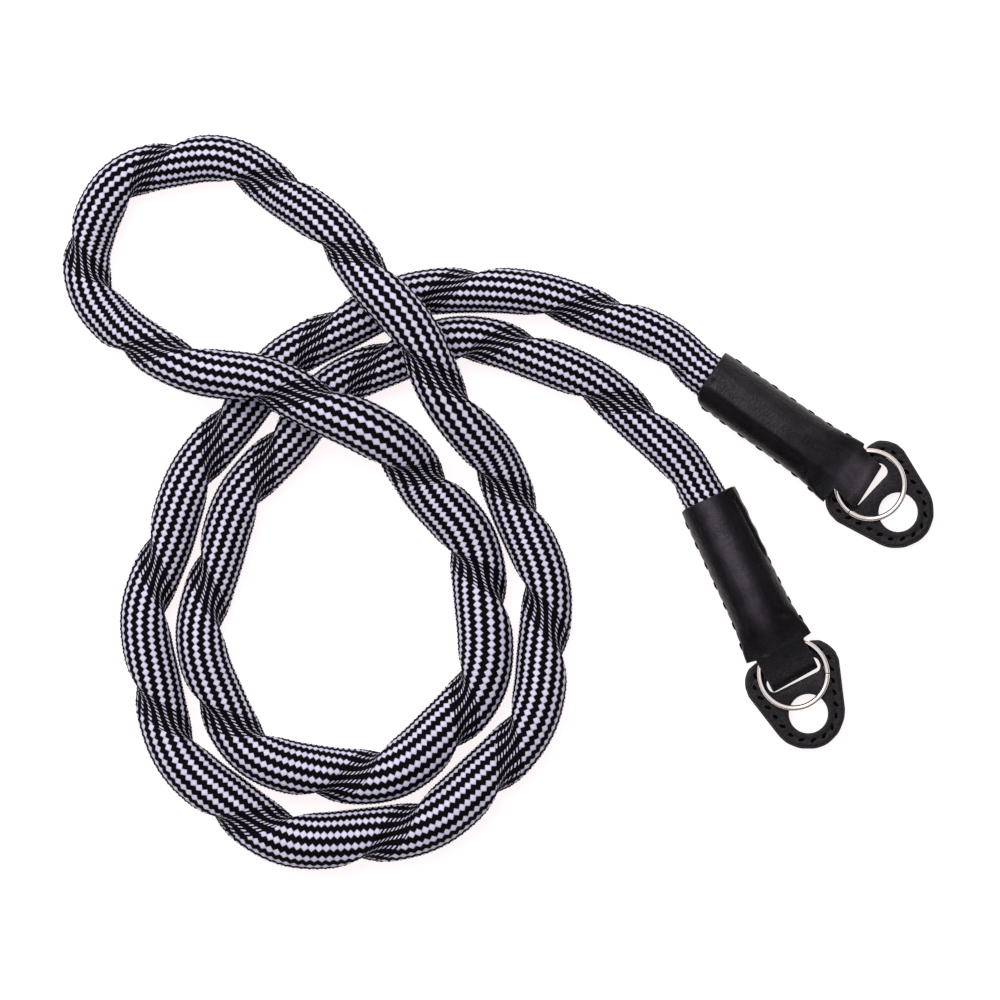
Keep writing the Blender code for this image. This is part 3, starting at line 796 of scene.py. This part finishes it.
def lacing_places(end, leather):
    """Where thick thread laces the two layers together down both sides of the wrap."""
    places = []
    for way in (1.0, -1.0):
        for along in np.arange(SEAM_START, SLEEVE_LENGTH / MM - 4.0, SEAM_PITCH):
            half_width, bottom, top, side = wrap_section(end, leather, along * MM / SLEEVE_LENGTH)
            spot = (along * MM, side + way * (half_width - 0.12 * MM),
                    (top + bottom) / 2 - 0.3 * MM)
            places.append(end_frame(end) @ Matrix.Translation(spot)
                          @ Matrix.Rotation(math.radians(24.0), 4, "Y")
                          @ Matrix.Diagonal((*LACING_SIZE, 1.0)))
    return places


class STRAP_OT_leather_ends(bpy.types.Operator):
    """Wrap both rope ends in leather and fold their tongues through the guards"""
    bl_idname = "camera_strap.leather_ends"
    bl_label = "Leather ends"

    def execute(self, context):
        leather = context.scene.strap_leather
        for end in ENDS:
            item = make_leather_end(end, leather)
            shine = 0.2 if end is END_A else 0.15
            finish = leather_material("waxed_leather_" + end.name, leather,
                                      math.radians(end.heading), 0.37, shine)
            finish_piece(item, finish, "black_leather", "end_sleeve_" + end.name)
        return {"FINISHED"}


# The drop's outline: where each round of it lies from the lug hole, and its radius
GUARD_ROUNDS = ((-0.5, 0.0, 10.4), (-12.0, 6.9, 6.8), (-12.0, -6.9, 6.8))
SLOT_BACK = 11.6 * MM
# How much shorter each guard's slot is cut, how far it sits to the side, and its turn in degrees
SLOT_TRIM = {"a": (2.0 * MM, -0.35 * MM, 0.0), "b": (0.3 * MM, 0.3 * MM, 4.0)}
# The rounding of the slot's corners and of the cut rims, and how deep the stitches are sunk
SLOT_CORNER = 1.9 * MM
RIM_BEVEL = 0.22 * MM
STITCH_SINK = 0.14 * MM
# The guard's side, from the seam below to the seam above: inset, then height over its bottom
GUARD_PROFILE = (
    (3.5, 0.0), (2.95, 0.04), (2.45, 0.2), (1.95, 0.04), (1.4, 0.0), (0.45, 0.0), (0.15, 0.06),
    (0.0, 0.25), (0.0, 1.0), (0.06, 1.16), (0.2, 1.24), (0.48, 1.27), (0.42, 1.36),
    (0.34, 1.5), (0.36, 2.25), (0.48, 2.5), (0.75, 2.6), (1.4, 2.6), (1.95, 2.56), (2.45, 2.4),
    (2.95, 2.56), (3.5, 2.6),
)


def guard_outline(inset, count=120):
    """Points on the outline of a drop, an inset inside its edge."""
    points = []
    for step in range(count):
        angle = 2 * math.pi * (step + 0.5) / count
        out = Vector((math.cos(angle), math.sin(angle)))
        reach = max(GUARD_ROUNDS, key=lambda spot: spot[0] * out.x + spot[1] * out.y + spot[2])
        # Cut by hand, so the edge wanders a little
        wander = 0.08 * math.sin(5 * angle + 1) + 0.06 * math.sin(13 * angle) * math.sin(3 * angle)
        points.append(Vector(reach[:2]) * MM + ((reach[2] + wander) * MM - inset) * out)
    return points


def guard_frame(end):
    """The matrix from the guard's own directions, from its lug hole, to its place."""
    slip = Matrix.Translation((SLEEVE_LENGTH + end.hole_past * MM, end.hole_side * MM, 0.0))
    return end_frame(end) @ slip @ Matrix.Rotation(math.radians(end.guard_turn), 4, "Z")


def cut_out(item, cutter):
    """Takes the cutter out of the item and clears it away."""
    boolean = item.modifiers.new("cut", "BOOLEAN")
    boolean.operation = "DIFFERENCE"
    boolean.solver = "EXACT"
    boolean.object = cutter
    apply_modifiers(item)
    bpy.data.objects.remove(cutter, do_unlink=True)


def make_guard(end, guard):
    rings = [[(point.x, point.y, GUARD_BOTTOM + height * MM)
              for point in guard_outline(inset * MM)] for inset, height in GUARD_PROFILE]
    points, faces = skin(rings, closed=False)
    around = len(rings[0])
    faces += [tuple(range(around))[::-1], tuple(range(len(points) - around, len(points)))]
    item = add_piece("lug_guard_leather_" + end.name, points, faces)
    middle = (GUARD_BOTTOM + GUARD_TOP) / 2

    deselect_all()
    bpy.ops.mesh.primitive_cylinder_add(vertices=72, radius=guard.hole_radius,
                                        depth=3 * GUARD_THICKNESS, location=(0.0, 0.0, middle))
    cut_out(item, bpy.context.object)

    deselect_all()
    trim, slot_side, slot_turn = SLOT_TRIM[end.name]
    bpy.ops.mesh.primitive_cube_add(size=1.0, location=(-SLOT_BACK, slot_side, middle),
                                    rotation=(0.0, 0.0, math.radians(slot_turn)),
                                    scale=(guard.slot_width, guard.slot_length - trim,
                                           3 * GUARD_THICKNESS))
    slot = bpy.context.object
    bpy.ops.object.transform_apply(location=True, rotation=True, scale=True)
    bpy.ops.object.mode_set(mode="EDIT")
    bpy.ops.mesh.select_all(action="DESELECT")
    bpy.ops.object.mode_set(mode="OBJECT")
    for edge in slot.data.edges:
        low, high = (slot.data.vertices[index].co for index in edge.vertices)
        edge.select = abs(low.z - high.z) > GUARD_THICKNESS
    bpy.ops.object.mode_set(mode="EDIT")
    bpy.ops.mesh.select_mode(type="EDGE")
    bpy.ops.mesh.bevel(offset=SLOT_CORNER, segments=8, affect="EDGES")
    bpy.ops.object.mode_set(mode="OBJECT")
    cut_out(item, slot)

    bevel = item.modifiers.new("rims", "BEVEL")
    bevel.width = RIM_BEVEL
    bevel.segments = 2
    bevel.limit_method = "ANGLE"
    bevel.angle_limit = math.radians(60.0)
    apply_modifiers(item)
    item.data.transform(guard_frame(end))
    item.data.shade_smooth()
    select_only(item)
    bpy.ops.object.shade_smooth_by_angle(angle=math.radians(40.0))
    upright = np.array([abs(vertex.normal.z) for vertex in item.data.vertices])
    add_attribute(item, "cut_edge", ease((0.85 - upright) / 0.5))
    return item


class STRAP_OT_guards(bpy.types.Operator):
    """Cut the drop-shaped lug guards, two plies thick"""
    bl_idname = "camera_strap.guards"
    bl_label = "Lug guards"

    def execute(self, context):
        guard = context.scene.strap_guard
        leather = context.scene.strap_leather
        for end in ENDS:
            item = make_guard(end, guard)
            finish = leather_material("stamped_leather_" + end.name, leather,
                                      math.radians(end.heading + end.guard_turn), 0.47, 0.2)
            finish_piece(item, finish, "black_leather", "lug_guard_" + end.name)
        return {"FINISHED"}


def stitch_places(end, guard):
    """Where the guard's stitches lie along its seam, on both faces."""
    outline = guard_outline(guard.seam_inset, 720)
    walked = [0.0]
    for low, high in zip(outline, outline[1:] + outline[:1]):
        walked.append(walked[-1] + (high - low).length)
    count = round(walked[-1] / guard.stitch_pitch)
    places = []
    for number in range(count):
        target = (number + 0.5) * walked[-1] / count
        index = max(spot for spot in range(len(outline)) if walked[spot] <= target)
        here, after = outline[index], outline[(index + 1) % len(outline)]
        spot = here.lerp(after, (target - walked[index]) / (walked[index + 1] - walked[index]))
        # Sewn by hand, so the stitches differ a little in slant and length
        uneven = math.sin(2.4 * number)
        turn = math.atan2(after.y - here.y, after.x - here.x) + math.radians(30.0 + 12.0 * uneven)
        length, width, thickness = STITCH_SIZE
        for height in (GUARD_TOP - STITCH_SINK, GUARD_BOTTOM + STITCH_SINK):
            places.append(guard_frame(end) @ Matrix.Translation((spot.x, spot.y, height))
                          @ Matrix.Rotation(turn, 4, "Z")
                          @ Matrix.Diagonal((length + 0.15 * uneven * MM, width, thickness, 1.0)))
    return places


class STRAP_OT_stitches(bpy.types.Operator):
    """Sew the guards' two plies together with sunken slanted stitches"""
    bl_idname = "camera_strap.stitches"
    bl_label = "Guard stitches"

    def execute(self, context):
        guard = context.scene.strap_guard
        finish = thread_material(guard.thread)
        deselect_all()
        bpy.ops.mesh.primitive_uv_sphere_add(segments=10, ring_count=7, radius=1.0)
        stitch = bpy.context.object
        for end in ENDS:
            seam = sew("guard_stitches_" + end.name, stitch, stitch_places(end, guard))
            finish_piece(seam, finish, "black_leather")
            lacing = sew("seam_threads_" + end.name, stitch,
                         lacing_places(end, context.scene.strap_leather))
            finish_piece(lacing, finish, "black_leather")
        bpy.data.objects.remove(stitch, do_unlink=True)
        return {"FINISHED"}


# The wire's rounded tip: share of the way round the ring, and share of the wire's thickness
WIRE_TIP = ((0.0, 0.82), (0.0006, 0.96), (0.0016, 1.0))


class STRAP_OT_rings(bpy.types.Operator):
    """Bend the nickel-plated split rings"""
    bl_idname = "camera_strap.rings"
    bl_label = "Split rings"

    def execute(self, context):
        ring = context.scene.strap_ring
        finish = nickel_material(ring.plate)
        bend = RING_RADIUS - WIRE_RADIUS
        open_angle = ring.split / bend
        sweep = 2 * math.pi - open_angle
        spots = [*WIRE_TIP, *((share, 1.0) for share in np.linspace(0.004, 0.996, 240)),
                 *((1 - share, size) for share, size in WIRE_TIP[::-1])]
        for end in ENDS:
            place = Vector((SLEEVE_LENGTH + end.ring_past * MM, end.ring_side * MM, RING_HEIGHT))
            middle = end_frame(end) @ place
            start = math.radians(end.heading + end.split_at) + open_angle / 2
            rows = []
            for share, size in spots:
                angle = start + sweep * share
                out = np.array((math.cos(angle), math.sin(angle), 0.0))
                rows.append([np.array(middle) + (bend + size * WIRE_RADIUS * math.cos(turn)) * out
                             + np.array((0.0, 0.0, size * WIRE_RADIUS * math.sin(turn)))
                             for turn in (2 * math.pi * side / 24 for side in range(24))])
            points, faces = skin(rows)
            faces = [face[::-1] for face in faces]
            item = add_piece("split_ring_wire_" + end.name, points, faces)
            finish_piece(item, finish, "nickel", "split_ring_" + end.name)
        return {"FINISHED"}


VIEW_MIDDLE = (0.4 * MM, 0.54 * MM)
SENSOR_WIDTH = 36.0
SOFTBOX_PLACE = Vector((-0.6, 0.95, 2.6))
SOFTBOX_SIZE = (1.6, 1.2)
# The way to the brightest part of the surround
GLOW_WAY = (-0.2, 0.35, 0.9)


def add_softbox(power):
    """A large soft light to the upper left of the view, aimed at its middle."""
    light = bpy.data.lights.new("overhead_softbox", "AREA")
    light.shape = "RECTANGLE"
    light.size, light.size_y = SOFTBOX_SIZE
    light.energy = power
    light.color = linear("#FFF8FB")
    item = bpy.data.objects.new("overhead_softbox", light)
    item.location = SOFTBOX_PLACE
    item.rotation_euler = (-SOFTBOX_PLACE).to_track_quat("-Z", "Y").to_euler()
    bpy.context.scene.collection.objects.link(item)


class STRAP_OT_stage(bpy.types.Operator):
    """Set the camera straight overhead, one softbox, a light surround and the backlit table"""
    bl_idname = "camera_strap.stage"
    bl_label = "Camera, lights and floor"

    def execute(self, context):
        stage = context.scene.strap_stage
        camera = bpy.data.cameras.new("overhead_camera")
        camera.sensor_width = SENSOR_WIDTH
        camera.lens = stage.lens
        camera.clip_end = 10.0
        item = bpy.data.objects.new("overhead_camera", camera)
        item.location = (*VIEW_MIDDLE, stage.view_width * stage.lens / SENSOR_WIDTH)
        context.scene.collection.objects.link(item)
        context.scene.camera = item
        context.scene.view_settings.view_transform = "Standard"

        world = bpy.data.worlds.new("white_surround")
        context.scene.world = world
        world.use_nodes = True
        backdrop = world.node_tree.nodes["Background"]
        backdrop.inputs["Color"].default_value = rgba(linear("#F4F2FD"))
        # The ceiling is bright, most of all toward the far side, and the walls are dark
        sky = add_node(world, "TexCoord", output=0)
        reach = add_node(world, "VectorMath", {0: sky, 1: GLOW_WAY}, 1, operation="DOT_PRODUCT")
        glow = add_node(world, "MapRange", {0: reach, 1: 0.1, 2: 0.8, 3: 0.12, 4: 1.2},
                        interpolation_type="SMOOTHSTEP")
        glow = add_node(world, "Math", {0: glow, 1: stage.surround}, operation="MULTIPLY")
        world.node_tree.links.new(glow, backdrop.inputs["Strength"])

        add_softbox(stage.key_power)

        deselect_all()
        bpy.ops.mesh.primitive_plane_add(size=4.0, location=(0.0, 0.0, 0.0))
        floor = context.object
        floor.name = "table_top"
        floor.data.materials.append(table_material())
        return {"FINISHED"}


class STRAP_PT_panel(bpy.types.Panel):
    """Steps that dress the strap, in their order"""
    bl_idname = "STRAP_PT_panel"
    bl_label = "Coiled Camera Strap"
    bl_space_type = "VIEW_3D"
    bl_region_type = "UI"
    bl_category = "Camera Strap"

    def draw(self, context):
        for step in STEPS:
            self.layout.operator(step.bl_idname)
        for group, _ in SETTINGS:
            settings = getattr(context.scene, group)
            for name in settings.__annotations__:
                self.layout.prop(settings, name)


STEPS = (STRAP_OT_stage, STRAP_OT_rope, STRAP_OT_leather_ends, STRAP_OT_guards,
         STRAP_OT_stitches, STRAP_OT_rings)
SETTINGS = (("strap_braid", StrapBraidSettings), ("strap_leather", StrapLeatherSettings),
            ("strap_guard", StrapGuardSettings), ("strap_ring", StrapRingSettings),
            ("strap_stage", StrapStageSettings))


def register():
    for name, group in SETTINGS:
        bpy.utils.register_class(group)
        setattr(bpy.types.Scene, name, bpy.props.PointerProperty(type=group))
    for step in (*STEPS, STRAP_PT_panel):
        bpy.utils.register_class(step)


def unregister():
    for step in (STRAP_PT_panel, *reversed(STEPS)):
        bpy.utils.unregister_class(step)
    for name, group in reversed(SETTINGS):
        delattr(bpy.types.Scene, name)
        bpy.utils.unregister_class(group)


def main():
    register()
    bpy.ops.camera_strap.stage()
    bpy.ops.camera_strap.rope()
    bpy.ops.camera_strap.leather_ends()
    bpy.ops.camera_strap.guards()
    bpy.ops.camera_strap.stitches()
    bpy.ops.camera_strap.rings()


if __name__ == "__main__":
    main()
